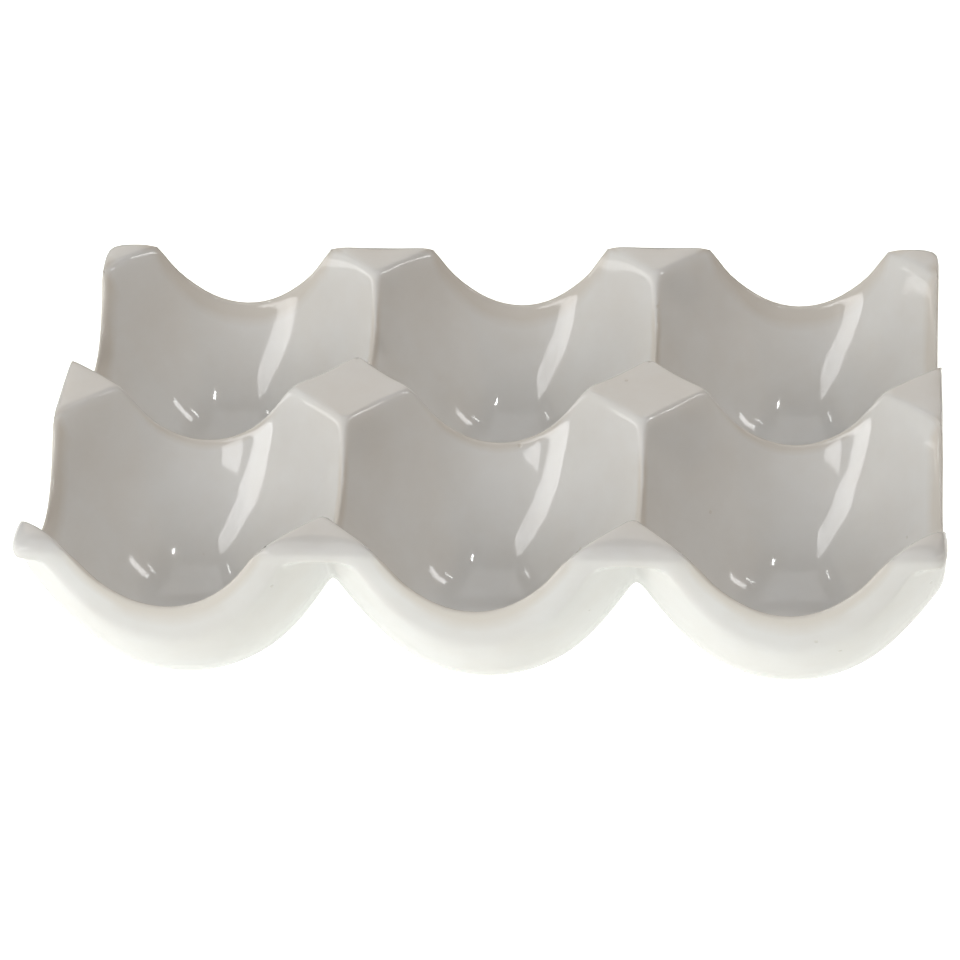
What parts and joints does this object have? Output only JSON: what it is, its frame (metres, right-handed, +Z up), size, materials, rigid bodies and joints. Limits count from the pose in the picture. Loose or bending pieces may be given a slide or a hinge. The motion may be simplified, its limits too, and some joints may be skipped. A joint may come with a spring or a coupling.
{
  "type": "egg tray",
  "caption": "Open glazed ceramic tray with rows of deep egg cups between hollow flat-topped posts, for standing on a worktop or refrigerator shelf.",
  "frame": {"origin": "under the middle of the tray, in the plane of the feet", "axes": "+X along the row of three cups, +Y from the front row to the back row, +Z up"},
  "size_m": [0.1584, 0.1054, 0.0377],
  "materials": {
    "ceramic_body": "bare fired body, matt and slightly rough, seen only under the feet",
    "glaze_coat": "smooth gloss white glaze"
  },
  "bodies": {
    "root": {"ceramic_body": "ceramic_body", "glaze_coat": "glaze_coat"}
  },
  "joints": []
}
